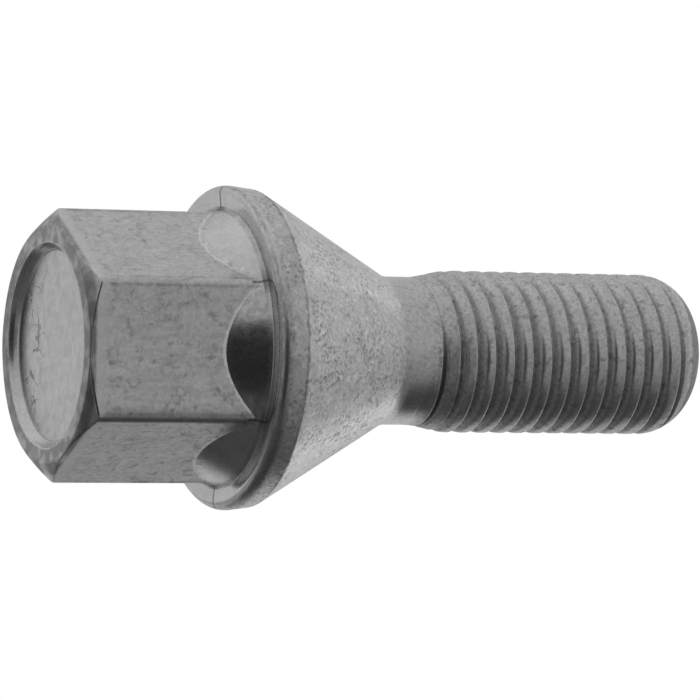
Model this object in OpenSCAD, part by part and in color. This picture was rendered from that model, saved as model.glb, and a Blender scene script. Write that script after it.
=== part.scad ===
// Wheel bolt with a hexagon head, a collar and a taper seat, forged in one piece with a rolled thread.
// It stands on its head: the head's end face is on Z = 0 and the thread points up along +Z.

/* [Hex head] */
// Width across the flats
hex_flats = 17; // [15:0.5:19]
// Depth that the rounding takes off each corner
corner_trim = 0.12; // [0.02:0.01:0.4]
// Height from the end face to the collar
head_h = 13.3; // [9:0.1:18]
// Slope of the chamfer round the end face, in degrees
chamfer_slope = 30; // [15:1:45]
// Width of the flat ring between the recess and the chamfer
end_ring_w = 1.15; // [0.4:0.05:1.4]

/* [Recess in the end face] */
// Diameter at the mouth
recess_d = 14.6; // [10:0.1:14.8]
// Depth to the floor
recess_depth = 0.85; // [0.3:0.05:2]
// Angle that the wall leans outwards, in degrees
recess_draft = 27; // [5:1:50]
// Radius between the floor and the wall
recess_fillet = 0.8; // [0.1:0.05:0.85]

/* [Shoulder] */
// Length of the cone that blends the flats into the collar
shoulder_h = 3; // [1.5:0.1:5]
// How far the cone spreads out from the flats
shoulder_spread = 1.5; // [0.8:0.1:2.2]

/* [Collar] */
// Largest diameter
collar_d = 23.6; // [22.4:0.1:26]
// Height of the rim
collar_h = 2.25; // [1.5:0.05:4]
// Radius of the rim's edge on the head side
collar_edge = 0.7; // [0.1:0.05:0.8]
// How far the rim draws in towards the seat
rim_draft = 0.38; // [0.05:0.01:0.6]
// Radius that blends the rim into the seat
rim_blend = 0.4; // [0.2:0.1:1.5]

/* [Taper seat] */
// Full angle of the taper
seat_angle = 60; // [50:1:90]
// Radius that blends the taper into the neck
seat_blend = 1; // [0.2:0.1:2]

/* [Shank] */
// Diameter of the plain neck under the taper
neck_d = 10.8; // [10.4:0.1:11.2]
// Length of the plain neck
neck_l = 2.45; // [1.5:0.05:6]
// Length of the shank, from the taper's small end to the tip
shank_l = 24.5; // [16:0.5:45]
// Radius of the rounding at the tip
tip_round = 3.7; // [2.6:0.1:6]
// Diameter of the flat at the tip
tip_d = 8.2; // [7:0.1:10]

/* [Thread] */
// Diameter over the crests
thread_d = 11.86; // [11.7:0.01:11.96]
// Distance between turns
pitch = 1.5; // [1.25:0.25:1.75]
// Diameter at the roots
root_d = 10.2; // [9.8:0.05:10.3]
// Width of the flat on each crest
crest_w = 0.45; // [0.15:0.05:0.5]
// Turns over which the thread rises out of the neck
runout_turns = 2.2; // [1:0.1:3]
// Direction in which the thread starts, in degrees from +X
thread_start = 51; // [0:1:359]
// Straight steps in each turn of the thread
turn_steps = 36; // [24:6:48]

/* [Hidden] */
$fn = 96;

flank_angle = 30;        // half of the thread's 60 degree profile
overlap = 0.5;           // how far solids that are joined run into each other
cutter_margin = 0.2;     // how far the groove's cutter stands out of the crests
arc_steps = 6;           // straight pieces in each rounded corner of a profile

hex_corner_r = hex_flats / 2 / cos(30) - corner_trim;
recess_r = recess_d / 2;
chamfer_r = recess_r + end_ring_w;
head_stock_r = hex_corner_r + overlap;

shoulder_slope = shoulder_spread / shoulder_h;
shoulder_foot_r = hex_flats / 2 + shoulder_spread;
shoulder_full_h = shoulder_h + overlap / shoulder_slope;

collar_r = collar_d / 2;
rim_end_r = collar_r - rim_draft;
rim_end_z = head_h + collar_h;
neck_r = neck_d / 2;
seat_len = (rim_end_r - neck_r) / tan(seat_angle / 2);
seat_end_z = rim_end_z + seat_len;
thread_z = seat_end_z + neck_l;
tip_z = seat_end_z + shank_l;

crest_r = thread_d / 2;
root_r = root_d / 2;
runout_l = runout_turns * pitch;
tip_drop = crest_r - tip_d / 2;
tip_round_h = sqrt(tip_drop * (2 * tip_round - tip_drop));
tip_round_end = asin(tip_round_h / tip_round);

cutter_r = crest_r + cutter_margin;
thread_depth = cutter_r - root_r;
root_w = pitch - crest_w - 2 * (crest_r - root_r) * tan(flank_angle);

// Points of an arc of radius r about [x, y], from angle a0 to angle a1
function arc(x, y, r, a0, a1) = [
    for (i = [0 : arc_steps])
        let (a = a0 + (a1 - a0) * i / arc_steps)
        [x + r * cos(a), y + r * sin(a)]
];

function unit(v) = v / norm(v);

// Points that round the corner at q, between p and s, with radius r
function rounded_corner(p, q, s, r) =
    let (
        u = unit(p - q),
        v = unit(s - q),
        half = acos(u * v) / 2,
        centre = q + unit(u + v) * r / sin(half),
        from = q + u * r / tan(half) - centre,
        to = q + v * r / tan(half) - centre,
        a0 = atan2(from[1], from[0]),
        sweep = atan2(cross(from, to), from * to)
    )
    arc(centre[0], centre[1], r, a0, a0 + sweep);

// Outline of the stock that the hexagon is chamfered from, from the axis outwards
function head_envelope() = [
    [0, 0],
    [chamfer_r, 0],
    [head_stock_r, (head_stock_r - chamfer_r) * tan(chamfer_slope)],
    [head_stock_r, head_h + overlap],
    [0, head_h + overlap]
];

// The recess has a leaning wall, a fillet and a flat floor
function recess_outline() =
    let (
        r = min(recess_fillet, recess_depth),
        foot = recess_depth - r * (1 - sin(recess_draft)),
        arc_r = recess_r - foot * tan(recess_draft) - r * cos(recess_draft)
    )
    concat(
        [[0, -overlap], [recess_r, -overlap], [recess_r, 0]],
        arc(arc_r, recess_depth - r, r, recess_draft, 90),
        [[0, recess_depth]]
    );

// Collar, taper seat, neck and the blank of the thread
function turned_outline() =
    let (
        face = [0, head_h],
        rim = [collar_r, head_h],
        seat = [rim_end_r, rim_end_z],
        neck = [neck_r, seat_end_z],
        rise = [neck_r, thread_z]
    )
    concat(
        [face],
        rounded_corner(face, rim, seat, collar_edge),
        rounded_corner(rim, seat, neck, rim_blend),
        rounded_corner(seat, neck, rise, seat_blend),
        [rise, [crest_r, thread_z + runout_l]],
        arc(crest_r - tip_round, tip_z - tip_round_h, tip_round, 0, tip_round_end),
        [[0, tip_z]]
    );

// Hexagon with its corners turned round, chamfered at the end and recessed
module hex_head() {
    difference() {
        intersection() {
            linear_extrude(head_h + overlap)
                circle(d = hex_flats / cos(30), $fn = 6);
            cylinder(r = hex_corner_r, h = head_h + overlap);
            rotate_extrude()
                polygon(head_envelope());
        }
        rotate_extrude()
            polygon(recess_outline());
    }
}

// Cone that blends the flats into the collar
module shoulder() {
    translate([0, 0, head_h - shoulder_full_h])
        cylinder(r1 = hex_flats / 2 - overlap, r2 = shoulder_foot_r, h = shoulder_full_h);
}

// Depth of the groove's cutter at a height: shallow where the thread starts
function groove_depth(z) =
    let (risen = (z - thread_z + pitch) / runout_l)
    thread_depth * min(1, max(0.1, risen));

// Four corners of the groove's section at step i, on a helix that rises anticlockwise
function groove_section(i) =
    let (
        turn = i / turn_steps,
        a = thread_start + 360 * turn,
        z = thread_z + pitch * (turn - 0.5),
        depth = groove_depth(z),
        half_root = root_w / 2,
        half_mouth = half_root + depth * tan(flank_angle),
        section = [
            [cutter_r, z - half_mouth],
            [cutter_r - depth, z - half_root],
            [cutter_r - depth, z + half_root],
            [cutter_r, z + half_mouth]
        ]
    )
    [for (p = section) [p[0] * cos(a), p[0] * sin(a), p[1]]];

// Helical cutter that leaves a right-hand thread
module thread_groove() {
    steps = ceil(((tip_z - thread_z) / pitch + 1.5) * turn_steps);
    points = [for (i = [0 : steps]) each groove_section(i)];
    sides = [
        for (i = [0 : steps - 1])
            for (j = [0 : 3])
                let (
                    a = 4 * i + j,
                    b = 4 * i + (j + 1) % 4
                )
                each [[a, a + 4, b + 4], [a, b + 4, b]]
    ];
    last = 4 * steps;
    polyhedron(
        points = points,
        faces = concat(
            [[0, 1, 2, 3]],
            sides,
            [[last + 3, last + 2, last + 1, last]]
        )
    );
}

module wheel_bolt() {
    color("darkgray")
        difference() {
            union() {
                hex_head();
                shoulder();
                rotate_extrude()
                    polygon(turned_outline());
            }
            thread_groove();
        }
}

wheel_bolt();
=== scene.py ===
import math

import bmesh
import bpy
from mathutils import Matrix, Vector


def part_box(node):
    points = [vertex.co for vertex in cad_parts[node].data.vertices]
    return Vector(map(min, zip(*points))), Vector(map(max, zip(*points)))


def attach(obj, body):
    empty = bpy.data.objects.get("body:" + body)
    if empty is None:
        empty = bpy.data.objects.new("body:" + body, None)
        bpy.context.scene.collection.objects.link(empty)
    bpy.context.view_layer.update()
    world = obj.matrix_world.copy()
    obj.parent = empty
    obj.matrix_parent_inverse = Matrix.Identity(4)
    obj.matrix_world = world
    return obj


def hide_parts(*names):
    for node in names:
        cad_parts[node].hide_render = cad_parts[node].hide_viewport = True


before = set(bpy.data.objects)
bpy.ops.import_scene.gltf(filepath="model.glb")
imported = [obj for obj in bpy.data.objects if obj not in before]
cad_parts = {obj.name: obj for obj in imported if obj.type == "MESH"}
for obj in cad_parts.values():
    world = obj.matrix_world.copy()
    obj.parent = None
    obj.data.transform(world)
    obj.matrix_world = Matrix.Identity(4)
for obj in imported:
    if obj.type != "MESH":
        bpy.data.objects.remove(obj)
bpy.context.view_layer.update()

MM = 0.001
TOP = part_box("wheel_bolt")[1][2]     # the tip's height in the frame, in metres

# Sizes of the bolt in millimetres, with the axis on Z and the end face at Z = 0. They are close to the
# part's own, but those of the thread, neck, collar, recess and roundings were then fitted to the photograph
TIP_WEAR = 0.15
TIP_Z = TOP / MM - TIP_WEAR
HEX_FLAT_R = 8.5
HEX_EDGE_ROUNDS = (0.5, 0.5, 0.5, 0.5, 0.5, 0.75)     # the six edges, at 0, 60, 120 degrees and so on
HEAD_H = 13.3
END_RING_R = 8.45
CHAMFER_SLOPE = math.radians(30)
CHAMFER_ROUND = 0.3
RING_ROUND = 0.5
RECESS_R = 7.3
RECESS_DEPTH = 0.74
RECESS_STEP_R = 7.12     # the recess's wall is steep down to here, and then leans more
RECESS_STEP_Z = 0.34
RECESS_FLOOR_R = 6.84
STEP_ROUND = 0.15
FLOOR_ROUND = 0.35
MOUTH_ROUND = 0.12
SHOULDER_SLOPE = 0.5
SHOULDER_FOOT_R = 10.0
SHOULDER_ROUND = 0.25    # where the flats end
FOOT_ROUND = 0.12        # where the shoulder meets the collar
COLLAR_R = 11.745
COLLAR_H = 2.05
COLLAR_EDGE_LEAST = 0.35
COLLAR_EDGE_MOST = 0.8
COLLAR_EDGE_TOWARDS = math.radians(290)  # where the edge is most rounded
COLLAR_FACE_DROP = 0.18  # how much lower the collar's face is at its edge
RIM_DRAFT = 0.26
RIM_BLEND = 0.4
SEAT_BLEND = 2.0
SEAT_HALF_ANGLE = math.radians(30)
NECK_R = 5.4
NECK_L = 2.55
TIP_ROUND = 3.7
TIP_FLAT_R = 4.1
TIP_EDGE_ROUND = 0.3
CREST_R = 5.93
ROOT_R = 5.25
PITCH = 1.5
RUNOUT_L = 3.3
THREAD_START = math.radians(51)
FLANK_ANGLE = math.radians(30)
CREST_W = 0.70
CREST_W_TIP = 0.95
CREST_ROUND_HEAD = 0.30  # rounding of the crest's edge on the head side
CREST_ROUND_TIP = 0.06   # and on the tip side
ROOT_ROUND = 0.16

# The start of the thread. The heights are measured from THREAD_Z
ENVELOPE_RISE = -0.3                     # here the crests start to rise out of the neck
GROOVE_START, GROOVE_FULL = -0.85, 0.2   # here the groove is cut first, and here it has its depth
FIRST_TURN_LATE = 0.28                   # how far the shallow first turn lies behind the helix
FIRST_TURN_DEEPER = 0.20                 # how much deeper its groove is
FIRST_TURN_ENDS = (0.4, 2.4)             # between these heights it goes over into the other turns
FIRST_TURN_SIDE = (-0.5, 0.2)            # it deepens between the angles that have these cosines

RIM_END_R = COLLAR_R - RIM_DRAFT
RIM_END_Z = HEAD_H + COLLAR_H
RIM_FACE_Z = HEAD_H - COLLAR_FACE_DROP
SEAT_END_Z = RIM_END_Z + (RIM_END_R - NECK_R) / math.tan(SEAT_HALF_ANGLE)
THREAD_Z = SEAT_END_Z + NECK_L
TIP_DROP = CREST_R - TIP_FLAT_R
TIP_ROUND_H = math.sqrt(TIP_DROP * (2 * TIP_ROUND - TIP_DROP))

# How finely the mesh is cut. Lengths are in millimetres
PER_SIDE = 46            # columns across each of the head's six sides
CROWDING = 0.85          # how much the columns crowd towards the hexagon's edges
THREAD_LOW_Z = THREAD_Z - 1.0                      # the helical lines begin at this height
THREAD_HIGH_Z = TIP_Z - 0.35                       # and end at this one
CREST_EDGE_LINES = (-0.12, -0.04, 0.04, 0.12)      # places of lines, from the crest's edge
GROOVE_LINES = (0.3, 0.55, 0.8)                    # and, as shares, from there to the groove's middle
TIP_FLAT_RINGS = (0.8, 0.55, 0.3)                  # rings in the tip's flat, as shares of its radius
TIP_EDGE_ROOM = 0.5      # room in the tip's flat for the rounding of its edge
MERGE_DISTANCE = 0.002
SLIVER_LENGTH = 0.0005

# The photograph's camera, in millimetres and degrees
CAMERA_AT = (0.0, -352.9, -139.3)
CAMERA_TURN = -1.2       # round the bolt's axis
CAMERA_TILT = 24.8
CAMERA_ROLL = 0.877
FOCAL_PX = 5352.0
PICTURE_PX = 700.0
SENSOR = 36.0
CLIP_M = (0.01, 10)      # in metres

# The floor, in metres
FLOOR_HALF_M = 3.0
FLOOR_DROP_M = 0.00002   # so that it doesn't touch the end face


def smooth(x, x0, x1):
    """0 at x0 and 1 at x1, with soft ends."""
    t = min(1.0, max(0.0, (x - x0) / (x1 - x0)))
    return t * t * (3 - 2 * t)


def arc(centre, radius, a0, a1, count):
    """Points on an arc in the (radius, height) plane."""
    angles = [a0 + (a1 - a0) * i / (count - 1) for i in range(count)]
    return [(centre[0] + radius * math.cos(a), centre[1] + radius * math.sin(a)) for a in angles]


def rounded(p, q, s, radius, count):
    """Points on an arc that rounds the corner q between p and s, as far as its two sides leave room."""
    p, q, s = Vector(p), Vector(q), Vector(s)
    u, v = (p - q).normalized(), (s - q).normalized()
    half = u.angle(v) / 2
    reach = min(radius / math.tan(half), 0.48 * (p - q).length, 0.48 * (s - q).length)
    radius = reach * math.tan(half)
    centre = q + (u + v).normalized() * radius / math.sin(half)
    start, end = q + u * reach - centre, q + v * reach - centre
    first = math.atan2(start.y, start.x)
    turn = math.atan2(start.x * end.y - start.y * end.x, start.dot(end))
    return arc(centre, radius, first, first + turn, count)


def straight(a, b, count):
    """Points between a and b, without its ends."""
    steps = [(i + 1) / (count + 1) for i in range(count)]
    return [(a[0] + (b[0] - a[0]) * t, a[1] + (b[1] - a[1]) * t) for t in steps]


def column_angles():
    """Angles round the axis, crowded towards the hexagon's edges at 0, 60, 120 degrees and so on."""
    angles = []
    for side in range(6):
        for i in range(PER_SIDE):
            t = i / PER_SIDE
            t -= CROWDING * math.sin(2 * math.pi * t) / (2 * math.pi)
            angles.append((side + t) * math.pi / 3)
    return angles


def hexagon_r(angle):
    """Distance from the axis to the hexagon, with its six edges rounded."""
    nearest = round(angle / (math.pi / 3))
    off = abs(angle - nearest * math.pi / 3)       # angle from the nearest edge
    edge_round = HEX_EDGE_ROUNDS[nearest % 6]
    centre = (HEX_FLAT_R - edge_round) / math.cos(math.pi / 6)
    side = centre * math.sin(off)
    if side < edge_round / 2:                      # the rounding ends where it touches the flats
        return centre * math.cos(off) + math.sqrt(edge_round ** 2 - side ** 2)
    return HEX_FLAT_R / math.cos(math.pi / 6 - off)


def collar_edge(angle):
    """Radius of the rim's edge on the head side, which differs round the bolt."""
    share = 0.5 + 0.5 * math.cos(angle - COLLAR_EDGE_TOWARDS)
    return COLLAR_EDGE_LEAST + (COLLAR_EDGE_MOST - COLLAR_EDGE_LEAST) * share


def head_outline(angle):
    """Outline from the recess to the collar's face at one angle, as (radius, height) points."""
    hex_r = hexagon_r(angle)
    floor_edge = (RECESS_FLOOR_R, RECESS_DEPTH)
    step = (RECESS_STEP_R, RECESS_STEP_Z)
    mouth = (RECESS_R, 0.0)
    ring = (END_RING_R, 0.0)
    ring_end = (hex_r, (hex_r - END_RING_R) * math.tan(CHAMFER_SLOPE))
    shoulder_z = HEAD_H - (SHOULDER_FOOT_R - hex_r) / SHOULDER_SLOPE
    shoulder = (hex_r, shoulder_z)
    foot = (SHOULDER_FOOT_R, HEAD_H)
    rim = (COLLAR_R, RIM_FACE_Z)
    seat = (RIM_END_R, RIM_END_Z)
    points = [(RECESS_FLOOR_R * i / 7, RECESS_DEPTH) for i in range(1, 7)]
    points += rounded((0, RECESS_DEPTH), floor_edge, step, FLOOR_ROUND, 6)
    points += rounded(floor_edge, step, mouth, STEP_ROUND, 4)
    points += rounded(step, mouth, ring, MOUTH_ROUND, 5)
    points += straight(mouth, ring, 2)
    points += rounded(mouth, ring, ring_end, RING_ROUND, 5)
    points += straight(ring, ring_end, 1)
    points += rounded(ring, ring_end, shoulder, CHAMFER_ROUND, 6)
    points += straight(ring_end, shoulder, 7)
    points += rounded(ring_end, shoulder, foot, SHOULDER_ROUND, 5)
    points += straight(shoulder, foot, 3)
    points += rounded(shoulder, foot, rim, FOOT_ROUND, 4)
    points += straight(foot, rim, 3)[:2]          # these two stay clear of the rim's rounded edge
    points += rounded(foot, rim, seat, collar_edge(angle), 8)
    return points


def shank_outline():
    """Outline of the rim, the taper seat and the neck, up to the thread's first line."""
    rim = (COLLAR_R, RIM_FACE_Z)
    seat = (RIM_END_R, RIM_END_Z)
    neck = (NECK_R, SEAT_END_Z)
    rise = (NECK_R, THREAD_LOW_Z)
    points = straight(rim, seat, 3)[1:]
    points += rounded(rim, seat, neck, RIM_BLEND, 6)
    points += straight(seat, neck, 8)
    points += rounded(seat, neck, rise, SEAT_BLEND, 8)
    points += straight(points[-1], rise, 2)
    return points


def lateness(z):
    """How far the thread lies behind its helix at a height: only the shallow start does."""
    return FIRST_TURN_LATE * (1 - smooth(z, THREAD_Z, THREAD_Z + RUNOUT_L))


def envelope_r(z):
    """Radius over the crests: the neck, the rise into the thread, and the rounded tip."""
    if z < TIP_Z - TIP_ROUND_H:
        return NECK_R + (CREST_R - NECK_R) * smooth(z, THREAD_Z + ENVELOPE_RISE, THREAD_Z + RUNOUT_L)
    up = min(z, TIP_Z) - (TIP_Z - TIP_ROUND_H)
    return CREST_R - TIP_ROUND + math.sqrt(TIP_ROUND ** 2 - up ** 2)


def soft_step(x, corner):
    """x above 0 and 0 below it, with the corner rounded."""
    return 0.5 * (x + math.sqrt(x * x + corner ** 2))


def thread_r(z, angle):
    """Radius of the thread at a height and an angle: crests under the envelope, and rounded roots."""
    turn = (angle - THREAD_START) / (2 * math.pi)
    off = (z - lateness(z) - (THREAD_Z + PITCH * turn)) / PITCH
    off = (off - round(off)) * PITCH               # distance from the crest's middle, towards the tip
    corner = CREST_ROUND_TIP if off > 0 else CREST_ROUND_HEAD
    along = smooth(z, THREAD_Z + RUNOUT_L, TIP_Z - TIP_ROUND_H)
    land = (CREST_W + (CREST_W_TIP - CREST_W) * along) / 2
    slope = 1 / math.tan(FLANK_ANGLE)
    depth = soft_step((abs(off) - land) * slope, corner) - soft_step(-land * slope, corner)
    started = smooth(z, THREAD_Z + GROOVE_START, THREAD_Z + GROOVE_FULL)
    ends, past = FIRST_TURN_ENDS
    deeper = FIRST_TURN_DEEPER * (1 - smooth(z, THREAD_Z + ends, THREAD_Z + past))
    deeper *= smooth(math.cos(angle), *FIRST_TURN_SIDE)
    groove = ROOT_R - deeper + soft_step(CREST_R - depth - ROOT_R, ROOT_ROUND)
    top = envelope_r(z)
    return top - (top - min(top, groove)) * started


def line_offsets():
    """Heights of the helical lines within one pitch, closest together at the crest's edges."""
    half = CREST_W / 2
    ups = [half + place for place in CREST_EDGE_LINES]
    left = PITCH / 2 - ups[-1]
    ups += [ups[-1] + left * share for share in GROOVE_LINES]
    return [0.0] + ups + [PITCH / 2] + [PITCH - u for u in reversed(ups)]


def build_mesh(name):
    """One closed mesh: plain rings for the head and the neck, and lines that climb with the thread."""
    angles = column_angles()
    columns = len(angles)
    bm = bmesh.new()

    def vertex(r, a, z):
        return bm.verts.new((r * math.cos(a), r * math.sin(a), z))

    def ring(points):
        return [vertex(r, a, z) for a, (r, z) in zip(angles, points)]

    def bridge(lower, upper):
        for i in range(columns):
            k = (i + 1) % columns
            bm.faces.new((lower[i], lower[k], upper[k], upper[i]))

    outlines = [head_outline(a) for a in angles]
    rings = [ring([outline[j] for outline in outlines]) for j in range(len(outlines[0]))]
    rings += [ring([point] * columns) for point in shank_outline()]
    rings.append(ring([(NECK_R, THREAD_LOW_Z)] * columns))

    floor_centre = bm.verts.new((0, 0, RECESS_DEPTH))
    for i in range(columns):
        bm.faces.new((floor_centre, rings[0][(i + 1) % columns], rings[0][i]))
    for lower, upper in zip(rings, rings[1:]):
        bridge(lower, upper)

    # Thread: a line's height is its own plus its share of the climb at each column, kept inside the ends
    offsets = line_offsets()
    per_turn = len(offsets)
    first_turn = math.floor((THREAD_LOW_Z - THREAD_Z) / PITCH) - 2
    last_turn = math.ceil((THREAD_HIGH_Z - THREAD_Z) / PITCH) + 1
    lines = []
    for turn in range(first_turn, last_turn):
        for off in offsets:
            base = THREAD_Z + PITCH * turn + off - PITCH * THREAD_START / (2 * math.pi)
            line = []
            for a in angles:
                z = base + PITCH * a / (2 * math.pi)
                z = min(THREAD_HIGH_Z, max(THREAD_LOW_Z, z + lateness(z)))
                line.append(vertex(thread_r(z, a), a, z))
            lines.append(line)
    for j in range(len(lines) - 1):
        lower, upper = lines[j], lines[j + 1]
        for i in range(columns - 1):
            bm.faces.new((lower[i], lower[i + 1], upper[i + 1], upper[i]))
        if j + per_turn + 1 < len(lines):          # past the last column, a line goes on as the next turn's
            bm.faces.new((lower[-1], lines[j + per_turn][0], lines[j + per_turn + 1][0], upper[-1]))

    # Tip: rings that follow its rounding, an edge and a flat
    top_angle = math.asin((THREAD_HIGH_Z - (TIP_Z - TIP_ROUND_H)) / TIP_ROUND)
    end_angle = math.asin(TIP_ROUND_H / TIP_ROUND)
    tip = arc((CREST_R - TIP_ROUND, TIP_Z - TIP_ROUND_H), TIP_ROUND, top_angle, end_angle, 6)
    tip_rings = [ring([(thread_r(THREAD_HIGH_Z, a), THREAD_HIGH_Z) for a in angles])]
    tip_rings += [ring([point] * columns) for point in tip[1:-1]]
    edge = rounded(tip[-2], tip[-1], (TIP_FLAT_R - TIP_EDGE_ROOM, TIP_Z), TIP_EDGE_ROUND, 4)
    tip_rings += [ring([point] * columns) for point in edge]
    tip_rings += [ring([(TIP_FLAT_R * share, TIP_Z)] * columns) for share in TIP_FLAT_RINGS]
    for lower, upper in zip(tip_rings, tip_rings[1:]):
        bridge(lower, upper)
    tip_centre = bm.verts.new((0, 0, TIP_Z))
    for i in range(columns):
        bm.faces.new((tip_centre, tip_rings[-1][i], tip_rings[-1][(i + 1) % columns]))

    bmesh.ops.remove_doubles(bm, verts=bm.verts, dist=MERGE_DISTANCE)
    bmesh.ops.dissolve_degenerate(bm, edges=bm.edges, dist=SLIVER_LENGTH)
    bmesh.ops.recalc_face_normals(bm, faces=bm.faces)
    bmesh.ops.scale(bm, vec=(MM, MM, MM), verts=bm.verts)
    mesh = bpy.data.meshes.new(name)
    bm.to_mesh(mesh)
    bm.free()
    mesh.polygons.foreach_set("use_smooth", [True] * len(mesh.polygons))
    return mesh


def camera_axes():
    """The camera's right, up and backward directions. The thread points right in the picture."""
    tilt, roll = math.radians(CAMERA_TILT), math.radians(CAMERA_ROLL)
    back = Vector((0, -math.cos(tilt), -math.sin(tilt)))
    level = Vector((0, -math.sin(tilt), math.cos(tilt)))
    up = Vector((-1, 0, 0))
    right = level * math.cos(roll) + up * math.sin(roll)
    turn = Matrix.Rotation(math.radians(CAMERA_TURN), 3, "Z")
    return turn @ right, turn @ back.cross(right), turn @ back


def make_camera():
    """The photograph's camera, fitted to the bolt's outline."""
    right, up, back = camera_axes()
    data = bpy.data.cameras.new("camera")
    data.sensor_width = SENSOR
    data.lens = SENSOR * FOCAL_PX / PICTURE_PX
    data.clip_start, data.clip_end = CLIP_M
    camera = bpy.data.objects.new("camera", data)
    rotation = Matrix((right, up, back)).transposed().to_4x4()
    place = Matrix.Rotation(math.radians(CAMERA_TURN), 3, "Z") @ Vector(CAMERA_AT) * MM
    camera.matrix_world = Matrix.Translation(place) @ rotation
    bpy.context.collection.objects.link(camera)
    bpy.context.scene.camera = camera


class Nodes:
    """Short calls for building a node tree."""

    def __init__(self, tree):
        self.tree = tree
        self.tree.nodes.clear()

    def add(self, kind, **inputs):
        """A new node, with inputs by name. Each takes a value or another node's output."""
        node = self.tree.nodes.new(kind)
        for key, value in inputs.items():
            self.feed(node, key.replace("_", " "), value)
        return node

    def feed(self, node, key, value):
        socket = node.inputs[int(key)] if key.isdigit() else node.inputs[key]
        if isinstance(value, bpy.types.NodeSocket):
            self.tree.links.new(value, socket)
        else:
            socket.default_value = value

    def maths(self, operation, *values):
        node = self.tree.nodes.new("ShaderNodeMath")
        node.operation = operation
        for i, value in enumerate(values):
            self.feed(node, str(i), value)
        return node.outputs[0]

    def ramp(self, value, x0, x1, y0=0.0, y1=1.0):
        """y0 where the value is x0 or less and y1 where it is x1 or more, with soft ends."""
        node = self.tree.nodes.new("ShaderNodeMapRange")
        node.interpolation_type = "SMOOTHSTEP"
        for i, v in enumerate((value, x0, x1, y0, y1)):
            self.feed(node, str(i), v)
        return node.outputs[0]

    def band(self, value, low, high, soft):
        """1 where the value lies between low and high, with soft ends."""
        up = self.ramp(value, low - soft, low + soft)
        return self.maths("MULTIPLY", up, self.ramp(value, high - soft, high + soft, 1.0, 0.0))

    def product(self, *values):
        result = values[0]
        for value in values[1:]:
            result = self.maths("MULTIPLY", result, value)
        return result

    def noise(self, place, size, detail=2.0):
        """Noise whose spots are about a size across, in millimetres."""
        return self.add("ShaderNodeTexNoise", Vector=place, Scale=1 / size, Detail=detail).outputs["Fac"]

    def spots(self, place, size, detail, first, full):
        """1 where the noise is full or more and 0 where it is first or less."""
        return self.ramp(self.noise(place, size, detail), first, full)

    def stretched(self, place, scale):
        node = self.tree.nodes.new("ShaderNodeVectorMath")
        node.operation = "MULTIPLY"
        self.feed(node, "0", place)
        node.inputs[1].default_value = tuple(scale)
        return node.outputs[0]

    def cracks(self, place, size, width):
        """Thin crooked lines along the borders of uneven cells. The width is a share of the size."""
        bend = self.add("ShaderNodeTexNoise", Vector=place, Scale=1.6 / size, Detail=3.0)
        bent = self.tree.nodes.new("ShaderNodeVectorMath")
        bent.operation = "MULTIPLY_ADD"
        self.feed(bent, "0", bend.outputs["Color"])
        bent.inputs[1].default_value = (1.1 * size, 1.1 * size, 1.1 * size)
        self.feed(bent, "2", place)
        cells = self.add("ShaderNodeTexVoronoi")
        cells.feature = "DISTANCE_TO_EDGE"
        self.feed(cells, "Vector", bent.outputs[0])
        self.feed(cells, "Scale", 1 / size)
        return self.ramp(cells.outputs["Distance"], width * 0.4, width, 1.0, 0.0)

    def dot(self, vector, axis):
        node = self.tree.nodes.new("ShaderNodeVectorMath")
        node.operation = "DOT_PRODUCT"
        self.feed(node, "0", vector)
        node.inputs[1].default_value = tuple(axis)
        return node.outputs["Value"]


# Surroundings that the steel mirrors. A separate program fitted most of these values to the photograph's
# tones, so they are an estimate. Each direction is given as (right, up, to the camera)
LEVEL = 0.516
DARK_LEVEL = 0.022
# Brighter and darker parts: strength, sharpness, direction
GLOWS = {
    "window strip": (1.219, 8.78, (0.77, -0.14, -0.62)),
    "ceiling": (0.213, 4.03, (-0.27, 0.95, -0.18)),
    "left wall": (-0.879, 7.59, (-0.99, -0.16, 0.01)),
    "left of the table": (0.681, 4.94, (-0.78, -0.56, -0.27)),
    "upper left": (0.160, 9.00, (-0.85, 0.48, -0.15)),
}
# Round dark parts, and round light cards in front of them: amount, radius and softness in degrees, direction
SHADES = {
    "camera": (1.00, 30.7, 2.0, (0.02, -0.14, 0.99)),
    "table front": (0.68, 49.5, 8.0, (-0.23, -0.94, 0.23)),
    "table right": (0.78, 72.0, 59.7, (0.11, -0.86, -0.49)),
}
CARDS = {
    "back card": (0.91, 37.0, 17.5, (0.09, -0.25, -0.96)),
    "top card": (1.00, 73.3, 4.0, (-0.30, 0.91, -0.29)),
}


def round_patch(n, direction, towards, radius, softness):
    """1 within a radius of a direction and 0 outside it, in degrees, with a soft edge."""
    inner = math.cos(math.radians(max(0.0, radius - softness)))
    outer = math.cos(math.radians(min(180.0, radius + softness)))
    return n.ramp(n.dot(direction, towards), outer, inner)


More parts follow.
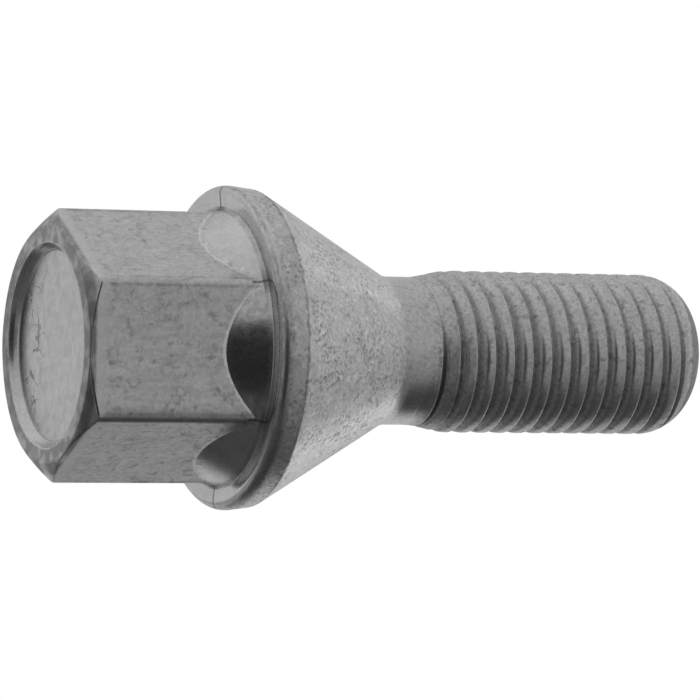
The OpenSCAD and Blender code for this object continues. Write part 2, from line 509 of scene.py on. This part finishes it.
def make_world():
    """White for camera rays. All others see grey surroundings, dark in front of and under the bolt."""
    right, up, back = camera_axes()
    axes = Matrix((right, up, back)).transposed()
    world = bpy.data.worlds.new("surroundings")
    bpy.context.scene.world = world
    world.use_nodes = True
    n = Nodes(world.node_tree)
    direction = n.add("ShaderNodeTexCoord").outputs["Generated"]
    light = LEVEL
    for strength, sharpness, towards in GLOWS.values():
        facing = n.dot(direction, axes @ Vector(towards).normalized())
        fall = n.maths("EXPONENT", n.maths("MULTIPLY_ADD", facing, sharpness, -sharpness))
        light = n.maths("MULTIPLY_ADD", fall, strength, light)
    light = n.maths("MAXIMUM", light, DARK_LEVEL)
    lit = 1.0
    for amount, radius, softness, towards in SHADES.values():
        patch = round_patch(n, direction, axes @ Vector(towards).normalized(), radius, softness)
        lit = n.maths("MULTIPLY", n.maths("MULTIPLY_ADD", patch, -amount, 1.0), lit)
    dark = n.maths("SUBTRACT", 1.0, lit)
    for amount, radius, softness, towards in CARDS.values():
        patch = round_patch(n, direction, axes @ Vector(towards).normalized(), radius, softness)
        dark = n.maths("MULTIPLY", n.maths("MULTIPLY_ADD", patch, -amount, 1.0), dark)
    extra = n.maths("SUBTRACT", light, DARK_LEVEL)
    level = n.maths("MULTIPLY_ADD", n.maths("SUBTRACT", 1.0, dark), extra, DARK_LEVEL)
    tent = n.add("ShaderNodeBackground", Strength=level, Color=(1, 1, 1, 1))
    white = n.add("ShaderNodeBackground", Strength=1.0, Color=(1, 1, 1, 1))
    path = n.add("ShaderNodeLightPath")
    mix = n.add("ShaderNodeMixShader")
    n.feed(mix, "0", path.outputs["Is Camera Ray"])
    n.feed(mix, "1", tent.outputs[0])
    n.feed(mix, "2", white.outputs[0])
    out = n.add("ShaderNodeOutputWorld")
    n.feed(out, "Surface", mix.outputs[0])


def make_floor():
    """A white floor that only the camera sees, and only from above, so the bolt is lit from all round."""
    mesh = bpy.data.meshes.new("floor")
    half = FLOOR_HALF_M
    corners = [(-half, -half, 0), (half, -half, 0), (half, half, 0), (-half, half, 0)]
    mesh.from_pydata(corners, [], [(0, 1, 2, 3)])
    floor = bpy.data.objects.new("floor", mesh)
    floor.location.z = -FLOOR_DROP_M
    bpy.context.collection.objects.link(floor)
    material = bpy.data.materials.new("floor_white")
    material.use_nodes = True
    n = Nodes(material.node_tree)
    path = n.add("ShaderNodeLightPath")
    geometry = n.add("ShaderNodeNewGeometry")
    above = n.maths("SUBTRACT", 1.0, geometry.outputs["Backfacing"])
    seen = n.maths("MULTIPLY", path.outputs["Is Camera Ray"], above)
    clear = n.add("ShaderNodeBsdfTransparent")
    paint = n.add("ShaderNodeBsdfDiffuse", Color=(0.9, 0.9, 0.9, 1))
    mix = n.add("ShaderNodeMixShader")
    n.feed(mix, "0", seen)
    n.feed(mix, "1", clear.outputs[0])
    n.feed(mix, "2", paint.outputs[0])
    out = n.add("ShaderNodeOutputMaterial")
    n.feed(out, "Surface", mix.outputs[0])
    mesh.materials.append(material)


class Places:
    """Where a point of the surface lies, in millimetres, for the marks that follow the bolt's form."""

    def __init__(self, n):
        self.n = n
        coordinates = n.add("ShaderNodeTexCoord").outputs["Object"]
        self.point = n.stretched(coordinates, (1 / MM, 1 / MM, 1 / MM))
        split = n.add("ShaderNodeSeparateXYZ", Vector=self.point)
        x, y, self.z = split.outputs
        self.radius = n.maths("SQRT", n.maths("MULTIPLY_ADD", x, x, n.maths("MULTIPLY", y, y)))
        self.flat = self.across(30, "MAXIMUM")     # distance from the axis, square to the nearest flat
        self.edge = self.across(90, "MINIMUM")     # distance from the nearest plane through two edges
        self.uneven = n.maths("MULTIPLY_ADD", n.noise(self.point, 0.5, 2.0), 0.3, -0.15)   # bends borders
        self.patchy = n.ramp(n.noise(self.point, 1.3, 3.0), 0.35, 0.6, 0.35, 1.0)          # breaks them up

    def towards(self, angle):
        """Distance from the axis towards an angle, in degrees."""
        a = math.radians(angle)
        return self.n.dot(self.point, (math.cos(a), math.sin(a), 0))

    def across(self, first, choose):
        """Largest or smallest distance along three directions, which lie 60 degrees apart."""
        n = self.n
        sides = [n.maths("ABSOLUTE", self.towards(first + turn)) for turn in (0, 60, 120)]
        return n.maths(choose, n.maths(choose, sides[0], sides[1]), sides[2])


# How much each mark darkens the steel. It lightens where the amount is below 0. The marks named painted,
# the roots and the first turn are painted shade or painted light
DARKENING = {
    # end face
    "ring": 0.46,
    # painted shade: the ring darker on its near and on its far side
    "painted shade on the near side of the ring": 0.20,
    "painted shade on the far side of the ring": 0.24,
    "border of the chamfer": 0.12,
    # painted shade in the fillet round the recess's floor, and inside it on the far side
    "painted shade round the floor": 0.25,
    "painted shade inside that line on the far side": 0.16,
    "scratches of the floor": 0.42,
    "mottle of the floor": 0.12,
    # hexagon
    "lines beside the edges": 0.20,
    # painted shade along the hexagon's lower near edge
    "painted shade on the lower near edge": 0.24,
    # painted highlight along the crease where the flats meet the shoulder
    "painted highlight on the shoulder's crease": -0.34,
    "specks of the flats": 0.26,
    "mottle of the flats": 0.10,
    "streaks of the flats": 0.08,
    "scratches of the flats": 0.15,
    # collar and taper
    "witness lines": 0.62,
    "foot of the shoulder": 0.26,
    # darker in the corners at the shoulder's foot
    "darkening at the corners": 0.45,
    "folds at the corners": 0.55,
    "edge of the collar's face": 0.34,
    # painted shade on the rim's edge, on its lower near side
    "painted shade on the rim's edge, lower near side": 0.30,
    "end of the rim": 0.40,
    "specks of the taper": 0.46,
    "blots of the taper": 0.20,
    "light spots of the taper": -0.22,
    "mottle of the near shoulder": 0.20,
    # neck and thread
    # painted shade in the thread's roots
    "roots": 0.36,
    # painted shade in the first turn's groove, on the lower side
    "first turn": 0.42,
    "grain of the thread": 0.18,
    "specks of the thread": 0.26,
    "tip": 0.30,
    # painted shade on the tip's lower side
    "painted shade on the lower side of the tip": 0.25,
    # painted light on the neck's lower side
    "painted light on the lower side of the neck": -0.16,
}

# Directions from the axis, in degrees round it, named as the photograph's camera sees them
NEAR = 270
FAR = 90
LOWER = 0
LOWER_NEAR = 300


def end_marks(n, at):
    """Masks of the marks on the end face."""
    radius = n.maths("ADD", at.radius, at.uneven)
    ring = n.product(n.ramp(radius, RECESS_R, RECESS_R + 0.15), n.ramp(at.z, 0.3, 0.6, 1.0, 0.0))
    slope = math.tan(CHAMFER_SLOPE)
    chamfer_z = n.maths("MULTIPLY_ADD", at.radius, slope, -END_RING_R * slope)
    on_chamfer = n.band(n.maths("SUBTRACT", at.z, chamfer_z), -0.2, 0.04, 0.05)
    beside_flat = n.band(at.flat, HEX_FLAT_R - 0.35, HEX_FLAT_R + 0.2, 0.2)
    border = n.product(beside_flat, n.ramp(at.radius, END_RING_R + 0.1, END_RING_R + 0.25), on_chamfer)
    deep = n.band(at.z, RECESS_DEPTH - 0.1, RECESS_DEPTH + 0.21, 0.04)
    floor = n.product(n.ramp(at.radius, 6.6, 6.8, 1.0, 0.0), deep)
    far_floor = n.product(n.ramp(at.towards(FAR), 1.0, 4.0), floor)
    foot = n.product(n.band(radius, 6.4, 6.75, 0.12), deep)
    some = n.spots(at.point, 2.4, 1.0, 0.42, 0.52)
    return {
        "ring": n.product(ring, at.patchy),
        # painted shade on the ring's near and far side
        "painted shade on the near side of the ring": n.product(ring, n.ramp(at.towards(NEAR), 3.0, 7.6)),
        "painted shade on the far side of the ring": n.product(ring, n.ramp(at.towards(FAR), 3.0, 7.6)),
        "border of the chamfer": n.product(border, at.patchy),
        # painted shade round the recess's floor, and inside it on the far side
        "painted shade round the floor": n.product(n.band(at.radius, 6.72, 6.86, 0.05), deep),
        "painted shade inside that line on the far side": n.product(foot, n.ramp(at.towards(FAR), 2.0, 5.5)),
        "scratches of the floor": n.product(n.cracks(at.point, 2.2, 0.045), some, far_floor),
        "mottle of the floor": n.product(n.spots(at.point, 0.8, 4.0, 0.42, 0.66), floor),
    }


def head_marks(n, at):
    """Masks of the marks on the flats and along the hexagon's edges."""
    head = n.product(n.ramp(at.z, HEAD_H - 0.7, HEAD_H - 0.3, 1.0, 0.0), n.ramp(at.z, 0.9, 1.5))
    flat = n.product(n.band(at.flat, HEX_FLAT_R - 0.1, HEX_FLAT_R + 0.2, 0.08), head)
    beside_edge = n.band(at.edge, 0.24, 0.42, 0.06)
    lines = n.product(beside_edge, n.ramp(at.flat, HEX_FLAT_R - 0.2, HEX_FLAT_R - 0.05))
    # painted shade along the hexagon's lower near edge
    low_edge_shade = n.product(n.ramp(at.towards(LOWER_NEAR), 9.3, 9.62), n.ramp(at.towards(NEAR), 8.2, 8.42))
    cone_z = HEAD_H - SHOULDER_FOOT_R / SHOULDER_SLOPE     # where the shoulder's cone would meet the axis
    shoulder_z = n.maths("MULTIPLY_ADD", at.radius, 1 / SHOULDER_SLOPE, cone_z)
    off_shoulder = n.maths("SUBTRACT", n.maths("ADD", at.z, at.uneven), shoulder_z)
    along = n.stretched(at.point, (1, 1, 0.2))
    some = n.spots(at.point, 1.8, 1.0, 0.47, 0.60)
    return {
        "lines beside the edges": n.product(lines, head, at.patchy),
        "painted shade on the lower near edge": n.product(low_edge_shade, head),
        # painted highlight along the shoulder's crease
        "painted highlight on the shoulder's crease": n.product(n.band(off_shoulder, -0.26, -0.04, 0.05), flat),
        "specks of the flats": n.product(n.spots(at.point, 0.55, 4.0, 0.56, 0.72), flat),
        "mottle of the flats": n.product(n.spots(at.point, 0.42, 3.0, 0.42, 0.62), flat),
        "streaks of the flats": n.product(n.spots(along, 0.28, 2.0, 0.42, 0.66), flat),
        "scratches of the flats": n.product(n.cracks(at.point, 1.7, 0.055), some, flat),
    }


def collar_marks(n, at):
    """Masks of the marks on the shoulder, the collar and the taper."""
    z = n.maths("MULTIPLY_ADD", at.uneven, 1.4, at.z)
    face = n.band(at.z, HEAD_H - 0.35, HEAD_H + 0.12, 0.04)
    corner = n.ramp(at.edge, 0.06, 0.14, 1.0, 0.0)
    across_face = n.product(n.band(at.radius, 10.1, 11.62, 0.05), face)
    not_nearest = n.ramp(at.towards(NEAR), 5.0, 9.0, 1.0, 0.0)
    fold = n.product(n.band(at.z, 12.2, 13.36, 0.1), n.band(at.radius, 9.3, 10.2, 0.1))
    foot = n.product(n.band(at.radius, SHOULDER_FOOT_R - 0.2, SHOULDER_FOOT_R + 0.16, 0.08), face)
    outside = n.ramp(at.radius, 11.25, 11.4)
    face_edge = n.product(outside, n.band(z, HEAD_H + 0.02, HEAD_H + 0.25, 0.05))
    # painted shade on the rim's edge, kept to the lower near side below
    rim_edge_shade = n.product(outside, n.band(z, HEAD_H + 0.2, HEAD_H + 0.8, 0.25))
    rim_end = n.product(n.ramp(at.radius, 11.2, 11.35), n.band(z, RIM_END_Z - 0.15, RIM_END_Z + 0.09, 0.07))
    turned = n.product(n.ramp(at.z, HEAD_H + 0.1, HEAD_H + 0.6), n.ramp(at.z, 22.5, 27.5, 1.0, 0.3))
    dense = n.ramp(n.noise(at.point, 2.6, 2.0), 0.40, 0.62, 0.35, 1.0)
    light = n.ramp(n.noise(at.point, 0.45, 4.0), 0.32, 0.48, 1.0, 0.0)
    shoulder = n.product(n.ramp(at.flat, HEX_FLAT_R + 0.1, HEX_FLAT_R + 0.25), n.band(at.z, 9.5, 13.0, 0.1))
    near_shoulder = n.product(shoulder, n.ramp(at.towards(NEAR), 8.2, 8.6))
    return {
        "witness lines": n.product(corner, across_face, not_nearest),
        "foot of the shoulder": n.product(foot, at.patchy),
        # darker in the corners at the shoulder's foot
        "darkening at the corners": n.product(foot, n.ramp(at.edge, 0.2, 1.3, 1.0, 0.0)),
        "folds at the corners": n.product(corner, fold),
        "edge of the collar's face": n.product(face_edge, at.patchy),
        "painted shade on the rim's edge, lower near side": n.product(rim_edge_shade, n.ramp(at.towards(LOWER_NEAR), 4.0, 10.0)),
        "end of the rim": n.product(rim_end, at.patchy),
        "specks of the taper": n.product(n.spots(at.point, 0.26, 4.0, 0.46, 0.68), turned, dense),
        "blots of the taper": n.product(n.spots(at.point, 1.1, 4.0, 0.46, 0.66), turned),
        "light spots of the taper": n.product(light, turned),
        "mottle of the near shoulder": n.product(n.spots(at.point, 0.4, 3.0, 0.46, 0.56), near_shoulder),
    }


def thread_marks(n, at):
    """Masks of the marks on the neck and the thread: grain, painted shade in the roots and the first turn, a
    darker tip, and painted shade and light on the lower side.
    """
    thread = n.ramp(at.z, THREAD_Z - 0.4, THREAD_Z + 1.2)
    # painted shade in the thread's roots
    root = n.ramp(n.maths("ADD", at.radius, at.uneven), ROOT_R + 0.02, ROOT_R + 0.17, 1.0, 0.0)
    under_neck = n.ramp(at.radius, NECK_R - 0.12, NECK_R - 0.015, 1.0, 0.0)
    # painted shade in the first turn's groove, kept to the lower side below
    first_turn = n.product(under_neck, n.band(at.z, THREAD_Z - 1.2, THREAD_Z + 1.5, 0.3))
    shank = n.product(n.ramp(at.z, 24.5, 26.0), n.ramp(at.z, 26.0, 28.5, 0.55, 1.0))
    # painted light on the neck's lower side
    neck = n.band(at.z, 25.9, THREAD_Z - 0.6, 0.3)
    # painted shade on the tip's lower side
    end = n.ramp(at.z, TIP_Z - 2.0, TIP_Z - 1.0)
    return {
        "roots": n.product(root, thread),
        "first turn": n.product(first_turn, n.ramp(at.towards(LOWER), -2.0, 1.0)),
        "grain of the thread": n.product(n.spots(at.point, 0.24, 4.0, 0.42, 0.64), shank),
        "specks of the thread": n.product(n.spots(at.point, 0.6, 3.0, 0.58, 0.68), shank),
        "tip": n.ramp(at.z, TIP_Z - 1.3, TIP_Z - 0.2),
        "painted shade on the lower side of the tip": n.product(end, n.ramp(at.towards(LOWER), 1.0, 4.0)),
        "painted light on the lower side of the neck": n.product(neck, n.ramp(at.towards(LOWER), -1.0, 2.5)),
    }


# The clean steel. The pairs are the values at the low and the high end of a noise
CLOUD_GREYS = (0.56, 0.63)
GRAIN_SHARES = (0.93, 1.06)
BUMP_STRENGTH = 0.25
BUMP_DEPTH_M = 0.00003
CLEAN_ROUGHNESS = 0.25
DIRTY_ROUGHNESS = 0.40
# What the roughness gains in places
GROOVE_ROUGHER = 0.18
CREST_ROUGHER = 0.03
SHOULDER_ROUGHER = -0.045
NECK_ROUGHER = -0.05


def roughness(n, at, clean):
    """Rougher under the marks and in the groove, smoother on the shoulder and the neck."""
    rough = n.ramp(clean, 0.5, 1.0, DIRTY_ROUGHNESS, CLEAN_ROUGHNESS)
    thread = n.ramp(at.z, THREAD_Z - 0.5, THREAD_Z + 0.8)
    groove = n.ramp(at.radius, CREST_R - 0.09, CREST_R - 0.01, GROOVE_ROUGHER, CREST_ROUGHER)
    rough = n.maths("MULTIPLY_ADD", thread, groove, rough)
    off_flat = n.ramp(at.flat, HEX_FLAT_R + 0.1, HEX_FLAT_R + 0.25)
    shoulder = n.product(off_flat, n.band(at.z, 9.5, HEAD_H, 0.1))
    rough = n.maths("MULTIPLY_ADD", shoulder, SHOULDER_ROUGHER, rough)
    neck = n.band(at.z, SEAT_END_Z, THREAD_Z - 0.2, 0.3)
    return n.maths("MULTIPLY_ADD", neck, NECK_ROUGHER, rough)


def steel():
    """Dull grey plated steel: mottled, specked and scratched, darker along its edges, with painted shade and
    light in places.
    """
    material = bpy.data.materials.new("bolt_steel")
    material.use_nodes = True
    n = Nodes(material.node_tree)
    at = Places(n)
    clean = 1.0
    for make_masks in (end_marks, head_marks, collar_marks, thread_marks):
        for name, mask in make_masks(n, at).items():
            spared = n.maths("MULTIPLY_ADD", mask, -DARKENING[name], 1.0)
            clean = n.maths("MULTIPLY", spared, clean)
    cloud = n.noise(at.point, 1.1, 4.0)
    grain = n.noise(at.point, 0.2, 2.0)
    grey = n.ramp(cloud, 0.3, 0.7, *CLOUD_GREYS)
    grey = n.product(grey, n.ramp(grain, 0.3, 0.7, *GRAIN_SHARES), clean)
    colour = n.add("ShaderNodeCombineColor", Red=grey, Green=grey, Blue=grey)
    height = n.maths("MULTIPLY_ADD", n.noise(at.point, 0.3, 3.0), 0.6, cloud)
    bump = n.add("ShaderNodeBump", Strength=BUMP_STRENGTH, Distance=BUMP_DEPTH_M, Height=height)
    shader = n.add("ShaderNodeBsdfPrincipled", Metallic=1.0)
    n.feed(shader, "Base Color", colour.outputs[0])
    n.feed(shader, "Roughness", roughness(n, at, clean))
    n.feed(shader, "Normal", bump.outputs[0])
    out = n.add("ShaderNodeOutputMaterial")
    n.feed(out, "Surface", shader.outputs[0])
    return material


def make_bolt():
    """The bolt, in place of the part's only node."""
    mesh = build_mesh("wheel_bolt_body")
    bolt = bpy.data.objects.new("wheel_bolt_body", mesh)
    bpy.context.collection.objects.link(bolt)
    mesh.materials.append(steel())
    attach(bolt, "root")
    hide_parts("wheel_bolt")


make_camera()
make_world()
make_floor()
make_bolt()
bpy.context.scene.view_settings.view_transform = "Standard"
